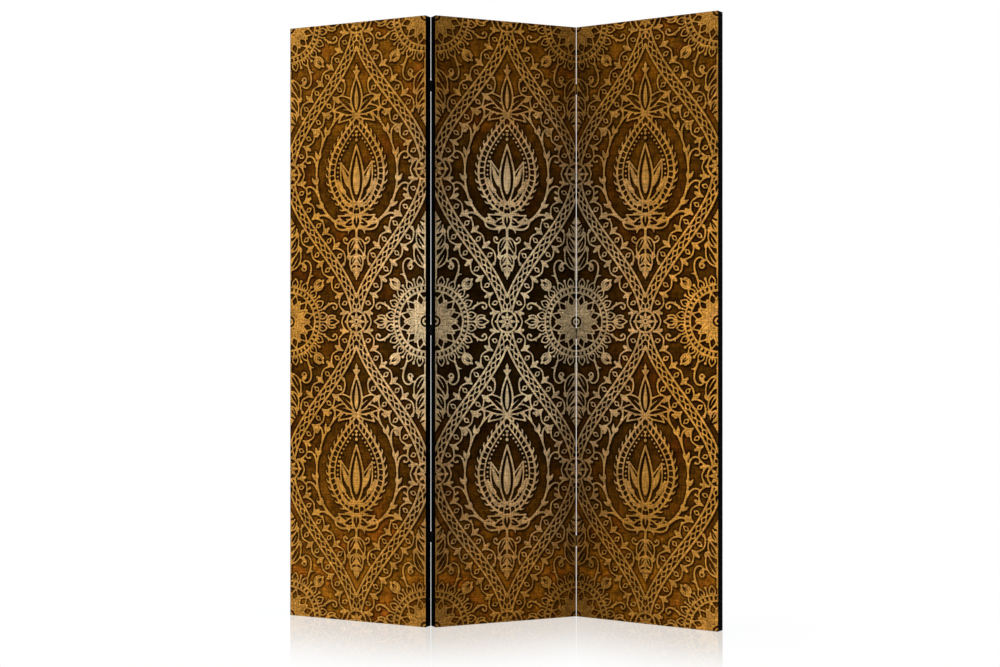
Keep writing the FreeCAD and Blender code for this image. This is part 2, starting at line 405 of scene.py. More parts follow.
def vine(line):
    """A stem with scrolls and leaves outside and leaflets inside."""
    rows = [stroke(line, TRUNK, BOLD, FINE)]
    for part, size in ((0.20, 15), (0.37, 17), (0.54, 17), (0.70, 17), (0.85, 14)):
        point, way = spot(line, part)
        rows.append(scroll(point, way - 0.30, size, -1, BOLD * 0.9, 1, 1.3))
    for part in (0.29, 0.45, 0.61, 0.77):
        point, way = spot(line, part)
        rows += [solid_leaf(point, way - 0.85, 27, 10, 0.5), barb(point, way + 0.6, 22, -1, FINE)]
    rows.append(scroll(line[-1], 2.2, 13, 1, BOLD * 0.9, 0, 1.3))
    return np.vstack(rows)


def spray(places, lean, way, side):
    """Leaves beside a stem, each with a scroll and a bud."""
    rows = NONE
    for v, length, width, size in places:
        rows = join(rows, scroll((0, v + way * 7), way * (UP - 1.27), size, -way, BOLD * 0.85, 1))
        rows = leaf((0, v), way * (UP - lean), length, width, way * side, FINE, 0.62, rows)
        bud = solid_leaf((0, v + way * 15), way * (UP - 0.41), length * 0.42, 8.8, -0.3 * way)
        rows = join(rows, bud)
    return rows


def tall_medallion():
    """A lotus in a pointed frame between two vines, under a crown of leaves."""
    outer = smooth_line([(0, -128), (52, -94), (88, -30), (84, 38), (50, 100), (0, 158)])
    inner = smooth_line([(0, -108), (40, -78), (70, -26), (67, 32), (40, 84), (0, 134)])
    stem = smooth_line([(0, -150), (70, -142), (120, -84), (134, 0),
                        (114, 84), (78, 142), (30, 186)])
    below = ((-276, 30, 13, 6), (-238, 43, 17, 9), (-190, 58, 21, 13))
    half = join(vine(stem), spray(below, 0.85, -1, 0.8), scroll((0, -160), -0.12, 22, 1, BOLD, 1))
    rows = join(both(half), straight((0, -140), (0, -326), TRUNK, BOLD, THIN))
    rows = fan((0, 166), UP, 0.85, ((1.5, 66, 23), (1, 82, 26), (0.5, 94, 27)), rows)
    rows = leaf((0, 164), UP, 112, 36, 0, BOLD, 0, rows)
    tip = join(scroll((0, 278), 0.85, 11, -1, FINE, 0), scroll((0, 296), 1, 8, -1, FINE, 0))
    point = straight((0, 274), (0, 330), FINE, FINE, THIN)
    rows = join(rows, solid_leaf((0, 178), UP, 74, 12), point, both(tip),
                dot(0, 290, 5.5), dot(0, 308, 4.4))
    outline = join(outer, (outer * (-1, 1))[::-1])
    rows = over(join(almond(outer, inner), lotus()), outline, rows)
    rows = fan((0, -132), -UP, -0.9, ((-1.25, 64, 21), (-0.72, 52, 21)), rows)
    return leaf((0, -122), -UP, 46, 25, 0, BOLD, 0.6, rows)


def rosette():
    """Rings of petals round an eye, in a beaded ring."""
    rows = NONE
    petals = 12
    beads = 44
    for a in around(petals, 0.5):
        rows = leaf(polar(30, a), a, 51, 25, 0, FINE * 0.95, 0, rows)
    for a in around(petals):
        rows = leaf(polar(18, a), a, 50, 22, 0, FINE, 0, rows)
        rows = join(rows, solid_leaf(polar(26, a), a, 33, 11.5))
    eye = 19
    rows = over(join(ring(eye, BOLD), ring(7.5, FINE * 1.4)), circle(eye, 40), rows)
    rows = join(rows, ring(85, BOLD), ring(101, FINE))
    return join(rows, *[dot(*polar(93, a), 3.3) for a in around(beads)])


def round_medallion():
    """A rosette crowned all round, with leaf sprays above and below."""
    rows = NONE
    crown = 20
    for a, b in zip(around(crown, 0.5), around(crown)):
        rows = join(rows, leaf(polar(101, a), a, 27, 19, 0, THIN * 1.1, 0.5),
                    straight(polar(101, b), polar(122, b), FINE, THIN), dot(*polar(124, b), 4))
    above = ((286, 30, 13, 6), (248, 44, 17, 9), (204, 58, 21, 12), (152, 74, 25, 17))
    quarter = join(fleuron((86, 96), 0.7, 38, 15, 0.7),
                   scroll((120, 42), 0.5, 13, -1, BOLD * 0.9, 1, 1.5),
                   scroll((60, 112), 1.25, 21, 1, BOLD * 0.9, 1, 1.7), spray(above, 0.9, 1, 0.85))
    half = join(both(quarter), straight((0, 124), (0, 340), TRUNK, BOLD, THIN))
    sides = both(fleuron((127, 0), 0, 40, 19, 0.85))
    return join(rows, half, half * (1, -1, 1), sides, rosette())


def knot():
    """A small rosette where the bands cross."""
    petals = [solid_leaf(polar(11, a), a, 15, 8.5) for a in around(8)]
    return join(ring(6, FINE), ring(KNOT_RADIUS, BOLD), *petals)


def within_oval(rows, clearance):
    """The rows that stay clear of the oval's edge."""
    angle = TURN * np.clip(rows[:, 1] / CELL_HEIGHT, -0.5, 0.5)
    edge = CELL_WIDTH / 4 * (1 + np.cos(angle))
    slope = CELL_WIDTH / 4 * TURN / CELL_HEIGHT * np.sin(angle)
    gap = (edge - np.abs(rows[:, 0])) / np.hypot(1, slope)
    return rows[gap - rows[:, 2] > clearance]


def ornament():
    """Half a cell: a tall medallion on its left, round ones at its right corners."""
    w, h = CELL_WIDTH / 2, CELL_HEIGHT / 2
    lobe_rows, outlines = lobes()
    fillings = []
    for rows in (tall_medallion(), round_medallion()):
        rows = within_oval(rows, FILLING_CLEARANCE)
        for outline in outlines:
            rows = rows[~inside(rows, outline)]
        fillings.append(join(rows, lobe_rows))
    rows = moved(join(fillings[0], band()), 0, h)
    for x in (-w, w):
        for y in (0, CELL_HEIGHT):
            rows = join(rows, moved(fillings[1], x, y))
    for x, y in ((0, 0), (0, CELL_HEIGHT), (w, h), (-w, h)):
        rows = over(moved(knot(), x, y), circle(KNOT_RADIUS, 40) + (x, y), rows)
    return rows


def net():
    """A net of scales, drawn faintly on the ground."""
    rise = NET_SIZE * 0.86
    gap = 0.12
    angle = np.linspace(gap, math.pi - gap, 24)
    arc = table(np.cos(angle), np.sin(angle)) * NET_SIZE
    rows = []
    for j in range(-2, int(CELL_HEIGHT / rise) + 3):
        for i in range(-2, int(CELL_WIDTH / 4 / NET_SIZE) + 3):
            rows.append(stroke(evenly(arc + ((2 * i + j % 2) * NET_SIZE, j * rise)), THIN))
    return np.vstack(rows)


def search_tree(places):
    tree = kdtree.KDTree(len(places))
    for i, place in enumerate(places):
        tree.insert((*place, 0), i)
    tree.balance()
    return tree


class Drawing:
    """Strokes to which points can be measured."""

    def __init__(self, rows):
        limits = (CELL_WIDTH / 2 + CELL_MARGIN, CELL_HEIGHT + CELL_MARGIN)
        near = (rows[:, :2] > -CELL_MARGIN) & (rows[:, :2] < limits)
        self.rows = rows[near.all(axis=1)]
        self.half = self.rows[:, 2].tolist()
        self.tree = search_tree(self.rows[:, :2].tolist())

    def nearest(self, x, z, count):
        """The way to a stroke's middle in half-widths and the distance from its edge.

        The stroke is that with the nearest edge, of so many with the nearest middles.
        """
        side = np.where(x < 0, -1, 1)
        x = np.abs(x)
        z = np.mod(z, CELL_HEIGHT)

        def from_edge(found):
            return found[2] - self.half[found[1]]

        found = [min(self.tree.find_n((*place, 0), count), key=from_edge)
                 for place in zip(x.tolist(), z.tolist())]
        near = self.rows[[f[1] for f in found]]
        way = (near[:, :2] - table(x, z)) / near[:, 2:3]
        return table(way[:, 0] * side, way[:, 1], [from_edge(f) for f in found])


# Meshes


def add_object(name, data):
    obj = bpy.data.objects.new(name, data)
    bpy.context.scene.collection.objects.link(obj)
    return obj


def new_mesh(name, vertices, faces, body=None):
    """A smooth mesh from millimetres, riding on a body."""
    mesh = bpy.data.meshes.new(name)
    mesh.from_pydata((np.asarray(vertices) * METRES).tolist(), [], faces)
    mesh.polygons.foreach_set("use_smooth", [True] * len(mesh.polygons))
    mesh.update()
    obj = add_object(name, mesh)
    if body:
        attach(obj, body)
    return obj


def store(obj, name, values):
    """Keeps one or three numbers per vertex."""
    kind, field = ("FLOAT", "value") if values.ndim == 1 else ("FLOAT_VECTOR", "vector")
    attribute = obj.data.attributes.new(name, kind, "POINT")
    attribute.data.foreach_set(field, values.astype(np.float32).ravel())


def in_space(pairs):
    """Rows of two numbers with a third, 0."""
    return table(pairs, np.zeros(len(pairs)))


def panel_turn(panel):
    """The way from the middle panel's place to a panel's own."""
    for joint in frame["joints"]:
        if joint["child"] == panel:
            pivot = Vector(joint["pos_m"]) / METRES
            rest = math.radians(joint["range_deg"][0])
            shift = Matrix.Translation((2 * pivot.x, 0, 0))
            turn = Matrix.Rotation(rest, 4, "Z")
            return Matrix.Translation(pivot) @ turn @ Matrix.Translation(-pivot) @ shift
    return Matrix.Identity(4)


def placed(vertices, panel):
    """Points of the middle panel, brought to another."""
    turn = np.array(panel_turn(panel))
    return np.asarray(vertices) @ turn[:3, :3].T + turn[:3, 3]


def staggered_grid(half_width, low, high):
    """Points, every other row half a step aside, triangles and rim."""
    step = 2 * half_width / GRID_COLUMNS
    whole = -half_width + step * np.arange(GRID_COLUMNS + 1)
    shifted = np.concatenate([[-half_width], whole[:-1] + step / 2, [half_width]])
    rows = [shifted if k % 2 else whole for k in range(GRID_ROWS + 1)]
    counts = [len(row) for row in rows]
    ends = np.cumsum(counts).tolist()
    starts = [0, *ends[:-1]]
    faces = []
    for k in range(GRID_ROWS):
        e, o = (starts[k + 1], starts[k]) if k % 2 else (starts[k], starts[k + 1])
        row = [(e + j, e + j + 1, o + j + 1) for j in range(GRID_COLUMNS)]
        row += [(e + j, o + j + 1, o + j) for j in range(GRID_COLUMNS + 1)]
        faces += [face[::-1] for face in row] if k % 2 else row
    right = [last - 1 for last in ends[1:-1]]
    top = list(range(starts[-1], ends[-1]))
    rim = [*range(ends[0]), *right, *top[::-1], *starts[-2:0:-1]]
    heights = low + (high - low) * np.arange(GRID_ROWS + 1) / GRID_ROWS
    return table(np.concatenate(rows), np.repeat(heights, counts)), faces, rim


def hinge_spans(fold):
    """The lowest and highest point of each hinge."""
    boxes = [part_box(f"{fold}_{place}_hinge_inner_leaf") for place in ("lower", "middle", "upper")]
    return [(low[2] / METRES, high[2] / METRES) for low, high in boxes]


def side_heights(low, high):
    """Heights of a side's points, some just past each hinge's ends."""
    heights = np.linspace(low, high, LOOP_UP + 1)[1:-1].tolist()
    for start, finish in hinge_spans("left_fold") + hinge_spans("right_fold"):
        for past in (PRESS_END, PRESS_START, SWELL_END, SWELL_START):
            heights += [start - past, finish + past]
    return np.sort(heights)


def fold_sides(panel):
    """A panel's folds: name, side, -1 for left, and pins' face, -1 for front."""
    sides = []
    for joint in frame["joints"]:
        x, y, _ = joint["pos_m"]
        if panel in (joint["parent"], joint["child"]):
            turned = -1 if joint["child"] == panel else 1
            sides.append((joint["name"], turned * math.copysign(1, x), math.copysign(1, y)))
    return sides


def share(value, start, end):
    """How far a value has come from start to end, 0 to 1."""
    return np.clip((value - start) / (end - start), 0, 1)


def eased(part):
    """A share that starts and ends slowly."""
    return part * part * (3 - 2 * part)


def swollen(points, panel):
    """Canvas points, swollen along folds and pressed in under hinges."""
    x, y, z = points.T
    out = points.copy()
    for fold, side, face in fold_sides(panel):
        gaps = [np.maximum(start - z, z - finish) for start, finish in hinge_spans(fold)]
        past = np.min(gaps, axis=0)
        free = share(past, SWELL_END, SWELL_START)
        under = share(past, PRESS_START, PRESS_END) * share(face * y, *LEAF_EDGE_Y)
        inset = PANEL_WIDTH / 2 - side * x
        swell = SIDE_SWELL * free * share(inset, EDGE_RADIUS, 0)
        press = LEAF_PRESS * under * share(inset, PRESS_REACH, 0)
        ridge = share(inset, FACE_SWELL_REACH, 0) ** 2 * share(face * y, 0, FACE_Y)
        out[:, 0] += side * (swell - press)
        out[:, 1] += face * FACE_SWELL * ridge * free
    return out


def loop(inset, corner):
    """A round-cornered outline from the lower left on, and the two sides of each point.

    The sides are 0 below, 1 right, 2 above and 3 left, and differ at a corner.
    """
    x, low, high = PANEL_WIDTH / 2 - inset - corner, inset + corner, PANEL_HEIGHT - inset - corner
    centres = ((-x, low), (x, low), (x, high), (-x, high))
    arcs = []
    for i, (cx, cz) in enumerate(centres):
        ways = [polar(corner, math.pi + i * UP + t * UP) for t in (0, 0.5, 1)]
        arcs.append([(cx + x_way, cz + z_way) for x_way, z_way in ways])
    points = []
    sides = []
    for i, arc in enumerate(arcs):
        (start_x, start_z), (end_x, end_z) = arc[-1], arcs[(i + 1) % 4][0]
        if i % 2:
            heights = side_heights(min(start_z, end_z), max(start_z, end_z))
            run = [(start_x, z) for z in (heights if end_z > start_z else heights[::-1])]
        else:
            run = [(x, start_z) for x in np.linspace(start_x, end_x, LOOP_ACROSS + 1)[1:-1]]
        points += arc + run
        sides += [((i - 1) % 4, i)] * 3 + [(i, i)] * len(run)
    return np.array(points), sides


def developed(points, sides, reach):
    """Where a loop lies on the flat cloth."""
    out = points.copy()
    edges = ((1, -reach), (0, PANEL_WIDTH / 2 + reach),
             (1, PANEL_HEIGHT + reach), (0, -PANEL_WIDTH / 2 - reach))
    for k, pair in enumerate(sides):
        for side in pair:
            axis, place = edges[side]
            out[k, axis] = place
    return out


def grid_faces(columns, rows):
    """Quads of a grid of points."""
    return [(a, a + 1, a + columns + 1, a + columns)
            for r in range(rows - 1) for a in range(r * columns, (r + 1) * columns - 1)]


def ring_faces(a, b):
    """Quads between two rings of the same count."""
    n = len(a)
    return [(a[k], a[(k + 1) % n], b[(k + 1) % n], b[k]) for k in range(n)]


def stitched(points, a, b):
    """Triangles between any two rings."""
    faces = []
    i = j = 0
    while i < len(a) or j < len(b):
        p, q = a[i % len(a)], b[j % len(b)]
        p_next, q_next = a[(i + 1) % len(a)], b[(j + 1) % len(b)]
        by_a = np.linalg.norm(points[p_next] - points[q])
        by_b = np.linalg.norm(points[q_next] - points[p])
        if j >= len(b) or (i < len(a) and by_a < by_b):
            faces.append((p, p_next, q))
            i += 1
        else:
            faces.append((p, q_next, q))
            j += 1
    return faces


def face_wave(x, z):
    """How far the stretched face is out of flat."""
    taut = 60
    edge = np.minimum(PANEL_WIDTH / 2 - np.abs(x), np.minimum(z, PANEL_HEIGHT - z))
    broad = 0.35 * np.sin(x / 61 + 0.4) * np.sin(z / 137)
    slanting = 0.2 * np.sin(x / 29 + z / 83)
    return share(edge, 0, taut) * (broad + slanting)


def hem_folds(outline, sides, inset):
    """The mitres of the hem: grooves with doubled cloth beside them."""
    if not HEM_ROUND < inset < HEM_WIDTH:
        return np.zeros(len(outline))
    reach, thickness, depth = 26, 0.25, 0.3
    near = share(PANEL_WIDTH / 2 - inset - np.abs(outline[:, 0]), reach, 0)
    doubled = np.array([pair in ((0, 0), (2, 2)) for pair in sides])
    groove = np.array([pair[0] != pair[1] for pair in sides])
    return thickness * near * doubled - depth * groove


class Shape:
    """A mesh made ring by ring."""

    def __init__(self):
        self.points = np.empty((0, 3))
        self.cloth = np.empty((0, 2))
        self.faces = []

    def add(self, place, y, cloth):
        """New points. Returns their numbers."""
        start = len(self.points)
        points = table(place[:, 0], np.full(len(place), y), place[:, 1])
        self.points = join(self.points, points)
        self.cloth = join(self.cloth, cloth)
        return list(range(start, len(self.points)))


def widened(place, inset, out, pull=0):
    """The rim of an inset face, moved outwards, corners less."""
    x, z = place.T
    at_side = np.abs(x) > PANEL_WIDTH / 2 - inset - TOUCH
    from_middle = z - PANEL_HEIGHT / 2
    at_end = np.abs(from_middle) > PANEL_HEIGHT / 2 - inset - TOUCH
    out = out - pull * (at_side & at_end)
    return table(x + np.sign(x) * out * at_side, z + np.sign(from_middle) * out * at_end)


def printed_face(shape):
    """The face and its rounded edge. Returns the last ring."""
    flat, faces, rim = staggered_grid(PANEL_WIDTH / 2 - EDGE_RADIUS, EDGE_RADIUS,
                                      PANEL_HEIGHT - EDGE_RADIUS)
    ring = rim
    shape.add(flat, -FACE_Y + face_wave(*flat.T), flat)
    shape.faces += faces
    for part in (0.5, 1):
        out, back = (EDGE_RADIUS * q for q in (math.sin(part * UP), 1 - math.cos(part * UP)))
        place = widened(flat[rim], EDGE_RADIUS, out, CORNER_PULL * part**2)
        last, ring = ring, shape.add(place, -FACE_Y + back, place)
        shape.faces += ring_faces(last, ring)
    return ring


def wrap_and_hem(shape, ring):
    """The black sides and the hem, from the face's last ring on."""
    edge, bevel, lip = 1.1, 0.12, 0.45
    start, end = LEAF_EDGE_Y
    side_ys = (-FACE_Y + EDGE_RADIUS + edge, -end, -start, start, end, FACE_Y - HEM_ROUND)
    rings = [(0, y, CORNER_RADIUS) for y in side_ys] + [
        (bevel, FACE_Y - bevel, 1.1),
        (HEM_ROUND, FACE_Y, 1.2),
        (FACE_SWELL_REACH, FACE_Y, 1.5),
        (BACKING_INSET, FACE_Y, HEM_CORNER),
        (HEM_WIDTH - HEM_ROUND, FACE_Y, HEM_CORNER),
        (HEM_WIDTH, FACE_Y - lip / 3, HEM_CORNER),
        (HEM_WIDTH, FACE_Y - lip, HEM_CORNER),
    ]
    for i, (inset, y, corner) in enumerate(rings):
        outline, sides = loop(inset, corner)
        cloth = developed(outline, sides, y + FACE_Y + inset)
        last, ring = ring, shape.add(outline, y + hem_folds(outline, sides, inset), cloth)
        shape.faces += ring_faces(last, ring) if i else stitched(shape.points, last, ring)


def staple_places(node):
    """Where a node's staples are, in x and z."""
    mesh = frame["nodes"][node].data
    found = np.empty(len(mesh.vertices) * 3)
    mesh.vertices.foreach_get("co", found)
    found = found.reshape(-1, 3)[:, [0, 2]] / METRES
    places = []
    while len(found):
        near = np.hypot(*(found - found[0]).T) < STAPLE_REACH
        places.append(found[near].mean(axis=0))
        found = found[~near]
    return np.array(places)


def backing_height(x, z, half, low, high):
    """How far back the backing is: tight over bars, sunk between."""
    lift, step_down, sink, sink_reach, wave = 0.62, 0.35, 0.9, 45, 0.12
    hem = HEM_WIDTH - BACKING_INSET
    edge = np.minimum(half - np.abs(x), np.minimum(z - low, high - z))
    y = FACE_Y + lift - step_down * share(edge, hem - 1, hem + 3)
    for start, finish in WINDOWS:
        inner = np.minimum(BAR_INNER_EDGE - np.abs(x), np.minimum(z - start, finish - z))
        y -= sink * eased(share(inner, 0, sink_reach))
    waves = np.sin(x / 23 + z / 51) * np.sin(z / 31)
    return y + wave * waves * share(edge, 0, 30)


def puckers(x, z, staples):
    """Dimples under the staples, and creases round them."""
    tree = search_tree(staples)
    found = [tree.find((*q, 0)) for q in zip(x.tolist(), z.tolist())]
    gap = np.array([f[2] for f in found])
    middle = np.array([f[0][:2] for f in found])
    angle = np.arctan2(z - middle[:, 1], x - middle[:, 0])
    creases_round, depth, height = 7, 0.33, 0.16
    dimple = -depth * np.exp(-((gap / 6) ** 2))
    creases = np.sin(creases_round * angle) * np.minimum(1, gap / 8) * np.exp(-gap / 26)
    return dimple + height * creases


def backing_shape():
    """The cloth on the back, with its edge turned under."""
    shape = Shape()
    half, low, high = PANEL_WIDTH / 2 - BACKING_INSET, BACKING_INSET, PANEL_HEIGHT - BACKING_INSET
    across = np.linspace(-half, half, int(2 * half / BACKING_STEP) + 1)
    up = np.linspace(low, high, int((high - low) / BACKING_STEP) + 1)
    x, z = (q.ravel() for q in np.meshgrid(across, up))
    flat = table(x, z)
    staples = staple_places("middle_panel_backing_staples")
    y = backing_height(x, z, half, low, high) + puckers(x, z, staples)
    shape.add(flat, y, flat)
    shape.faces += [(a, d, c, b) for a, b, c, d in grid_faces(len(across), len(up))]
    grid = np.arange(len(flat)).reshape(len(up), len(across))
    rim = [*grid[0], *grid[1:-1, -1], *grid[-1, ::-1], *grid[-2:0:-1, 0]]
    ring = rim
    for out, drop in ((0.25, 0.12), (0.25, 0.55), (-4, 0.56)):
        place = widened(flat[rim], BACKING_INSET, out)
        last, ring = ring, shape.add(place, y[rim] - drop, place)
        shape.faces += ring_faces(ring, last)
    return shape


# Looks


def colour(red, green, blue):
    """The linear form of a display colour."""
    parts = [c / 255 for c in (red, green, blue)]
    return (*[c / 12.92 if c <= 0.04045 else ((c + 0.055) / 1.055) ** 2.4 for c in parts], 1)


class Graph:
    """The nodes of a material or world."""

    def __init__(self, owner):
        owner.use_nodes = True
        self.owner = owner
        self.nodes, self.links = owner.node_tree.nodes, owner.node_tree.links
        self.nodes.clear()

    def feed(self, socket, value):
        if isinstance(value, bpy.types.NodeSocket):
            self.links.new(value, socket)
        else:
            socket.default_value = value

    def add(self, kind, inputs=(), **settings):
        node = self.nodes.new("ShaderNode" + kind)
        for key, value in settings.items():
            setattr(node, key, value)
        for key, value in dict(inputs).items():
            self.feed(node.inputs[key], value)
        return node

    def out(self, kind, inputs=(), **settings):
        return self.add(kind, inputs, **settings).outputs[0]

    def math(self, operation, *values, clamp=False):
        inputs = dict(enumerate(values))
        return self.out("Math", inputs, operation=operation, use_clamp=clamp)

    def product(self, first, *others):
        for other in others:
            first = self.math("MULTIPLY", first, other)
        return first

    def scaled(self, value, factor, start):
        """The start and so many times the value."""
        return self.math("MULTIPLY_ADD", value, factor, start)

    def distance(self, a, b):
        return self.math("ABSOLUTE", self.math("SUBTRACT", a, b))

    def length(self, a, b):
        return self.math("SQRT", self.scaled(a, a, self.product(b, b)))

    def ramp(self, value, low, high, start=0, end=1):
        inputs = {"Value": value, "From Min": low, "From Max": high, "To Min": start, "To Max": end}
        return self.out("MapRange", inputs, interpolation_type="SMOOTHSTEP")

    def ramps(self, *rows):
        """The product of several ramps."""
        return self.product(*[self.ramp(*row) for row in rows])

    def blend(self, part, a, b, kind="MIX"):
        inputs = {0: part, 6: a, 7: b}
        return self.add("Mix", inputs, data_type="RGBA", blend_type=kind).outputs[2]

    def shade(self, base, amount):
        """A colour made lighter or darker by a number."""
        grey = self.out("CombineColor", {0: amount, 1: amount, 2: amount})
        return self.blend(1, base, grey, "MULTIPLY")

    def noise(self, where, scale, detail=3, rough=0.55):
        inputs = {"Vector": where, "Scale": scale, "Detail": detail, "Roughness": rough}
        return self.out("TexNoise", inputs)

    def stretched(self, where, scale, turn=0):
        inputs = {"Vector": where, "Scale": scale, "Rotation": (0, 0, turn)}
        return self.out("Mapping", inputs, vector_type="POINT")

    def kept(self, name, output="Vector"):
        """Values that a mesh keeps."""
        return self.add("Attribute", attribute_name=name).outputs[output]

    def object_place(self):
        return self.add("TexCoord").outputs["Object"]

    def split(self, vector):
        return self.add("SeparateXYZ", {0: vector}).outputs

    def shows_white(self):
        """1 for rays from the camera, off gloss or through glass."""
        rays = self.add("LightPath").outputs
        seen = self.math("MAXIMUM", rays["Is Camera Ray"], rays["Is Glossy Ray"])
        return self.math("MAXIMUM", seen, rays["Is Transmission Ray"])


class Look(Graph):
    """A material with one shader and the nodes that drive it."""

    def __init__(self, name, specular=0.5, metallic=0):
        super().__init__(bpy.data.materials.new(name))
        inputs = {"Specular IOR Level": specular, "Metallic": metallic}
        self.shader = self.add("BsdfPrincipled", inputs)
        self.add("OutputMaterial", {0: self.shader.outputs[0]})

    def finish(self, base, roughness, height, depth):
        """The material, with bumps so many metres deep."""
        bump = self.add("Bump", {"Height": height, "Distance": depth, "Strength": 1})
        inputs = {"Base Color": base, "Roughness": roughness, "Normal": bump.outputs[0]}
        for name, value in inputs.items():
            self.feed(self.shader.inputs[name], value)
        return self.owner


def weave(look, u, v, pitch):
    """Woven threads, 0 to 1."""
    rate = TURN / (pitch * METRES)
    warp, weft = (look.math("SINE", look.product(along, rate)) for along in (u, v))
    return look.scaled(look.product(warp, weft), 0.5, 0.5)


class PrintLook(Look):
    """Golden lines on a dark ground, paler in the middle."""

    def __init__(self):
        super().__init__("printed canvas", specular=0.02)
        self.place = self.kept("cloth")
        self.u, self.v, _ = self.split(self.place)
        self.way_x, self.way_y, self.edge = self.split(self.kept("stroke"))
        self.height = self.math("SUBTRACT", self.v, PANEL_HEIGHT / 2 * METRES)
        self.level = self.math("ABSOLUTE", self.height)
        self.sideways = self.math("ABSOLUTE", self.u)
        self.clouds = self.noise(self.place, 6.5, 3, 0.6)
        self.blots = self.noise(self.place, 30, 4, 0.62)
        self.flecks = self.noise(self.place, 150, 2, 0.5)
        self.outward = self.from_middle()

    def from_middle(self):
        """0 in the middle of the print to 1 outside a cloudy oval."""
        radius = self.length(self.u, self.product(self.height, 0.75))
        wander = self.math("SUBTRACT", self.clouds, 0.5)
        return self.ramp(self.scaled(wander, 0.3, radius), 0.1, 0.6)

    def line_colour(self):
        """Silvery, golden and rosy lines, embossed and flecked, with painted light and shade."""
        line = self.blend(self.outward, colour(232, 208, 164), colour(206, 146, 62))
        rosy = self.ramp(self.noise(self.place, 11, 3, 0.6), 0.55, 0.75, 0, 0.35)
        line = self.blend(self.product(rosy, self.outward), line, colour(214, 148, 92))
        slope = self.math("SUBTRACT", self.product(self.way_x, 0.6), self.product(self.way_y, 0.8))
        slope = self.math("MINIMUM", self.math("MAXIMUM", slope, -1), 1)
        relief = self.scaled(slope, 0.25, 1)
        blotted = self.ramp(self.blots, 0.3, 0.7, 0.8, 1.12)
        flecked = self.ramp(self.flecks, 0.3, 0.7, 0.85, 1.12)
        line = self.shade(line, self.product(relief, blotted, flecked))
        return self.shade(line, self.glow())

    def glow(self):
        """Painted light and shade on the lines: lighter in the middle, at middle height and at the
        right end; painted shade at the folds, deepest in the valley.
        """
        left = self.ramps((self.level, 0.1, 0.6, 0.2, 0), (self.u, -0.62, -0.35))
        middle = self.ramp(self.sideways, 0.05, 0.22, 1.18, 0.84)
        right = self.ramps((self.u, 0.42, 0.62, 0, 0.3), (self.height, 0.3, 0.6, 1, 0))
        glow = self.math("ADD", self.math("ADD", left, middle), right)
        # Painted shade at both folds, deeper in the valley between the middle and right panels.
        at_folds = self.ramp(self.distance(self.sideways, 0.225), 0, 0.13, 0.82, 1)
        at_valley = self.ramp(self.distance(self.u, 0.24), 0, 0.13, 0.76, 1)
        return self.product(glow, at_folds, at_valley)

    def ground_colour(self):
        """Clouded browns, darker beside the lines, lighter on the net."""
        cast, net_edge, _ = self.split(self.kept("ground"))
        ground = self.blend(self.outward, colour(52, 32, 5), colour(111, 67, 11))
        reddish = self.ramp(self.clouds, 0.48, 0.68, 0, 0.5)
        ground = self.blend(self.product(reddish, self.outward), ground, colour(120, 53, 11))
        greenish = self.ramp(self.noise(self.place, 9, 3, 0.6), 0.5, 0.7, 0, 0.4)
        ground = self.blend(greenish, ground, colour(62, 48, 11))
        # Ground lighter towards the top and bottom, most at the bottom, and in the middle column;
        # darker at middle height.
        ends = self.math("ADD", self.ramp(self.level, 0.3, 0.75, 0.5, 1.1),
                         self.ramp(self.height, -0.8, -0.5, 0.7, 0))
        depth = self.ramps(
            (self.blots, 0.3, 0.72, 0.5, 1.5),
            (self.flecks, 0.3, 0.7, 0.85, 1.15),
            (net_edge, -0.6, 1.2, 1.25, 1),
            (self.edge, -1, 9, 0.16, 1),
            (cast, -1.5, 5, 0.4, 1))
        by_height_and_column = self.product(ends, self.ramp(self.sideways, 0.1, 0.24, 1.3, 1))
        return self.shade(ground, self.product(depth, by_height_and_column))

    def coverage(self):
        """1 on the strokes, 0 on the ground."""
        to_middle = self.length(self.way_x, self.way_y)
        core = self.math("MAXIMUM", self.ramp(to_middle, 0.8, 1.2, 1, 0),
                         self.ramp(self.edge, -0.7, -0.1, 1, 0))
        return self.product(core, self.ramp(self.edge, 0.4, 1.4, 1, 0))

    def printed(self):
        """The print, with the canvas's threads and slubs."""
        base = self.blend(self.coverage(), self.ground_colour(), self.line_colour())
        threads = weave(self, self.u, self.v, WEAVE_PITCH)
        across, upright = (self.noise(self.stretched(self.place, scale), 330, 1, 0.5)
                           for scale in ((0.07, 1, 1), (1, 0.07, 1)))
        slubs = self.ramps((across, 0.3, 0.7, 0.72, 1.28), (upright, 0.3, 0.7, 0.76, 1.24))
        base = self.shade(base, self.product(slubs, self.scaled(threads, 0.14, 0.93)))
        roughness = self.scaled(threads, 0.06, 0.66)
        roughness = self.scaled(self.blots, 0.12, roughness)
        return self.finish(base, roughness, threads, 0.00012)


def black_canvas_look():
    """The plain black edge of the canvas."""
    look = Look("black canvas", specular=0.01)
    place = look.kept("cloth")
    u, v, _ = look.split(place)
    threads = weave(look, u, v, WEAVE_PITCH)
    dust = look.ramp(look.noise(place, 45, 4, 0.6), 0.45, 0.8)
    base = look.blend(dust, colour(3, 3, 3), colour(8, 8, 7))
    base = look.shade(base, look.scaled(threads, 0.5, 0.75))
    return look.finish(base, look.scaled(dust, 0.15, 0.72), threads, 0.00014)


def backing_look():
    """Black non-woven cloth with a fine dotted grid."""
    look = Look("black backing", specular=0.15)
    place = look.kept("cloth")
    u, v, _ = look.split(place)
    dots = look.ramp(weave(look, u, v, 3.2), 0.72, 0.95)
    fibres = look.noise(place, 900, 3, 0.7)
    clumps = look.noise(place, 120, 4, 0.65)
    base = look.blend(look.ramp(clumps, 0.35, 0.7), colour(24, 24, 25), colour(38, 38, 40))
    fuzz = look.ramp(fibres, 0.3, 0.7, 0.8, 1.15)
    base = look.shade(base, look.scaled(dots, -0.35, fuzz))
    height = look.scaled(dots, -0.6, look.scaled(fibres, 0.3, clumps))
    return look.finish(base, look.scaled(dots, -0.2, 0.78), height, 0.0003)


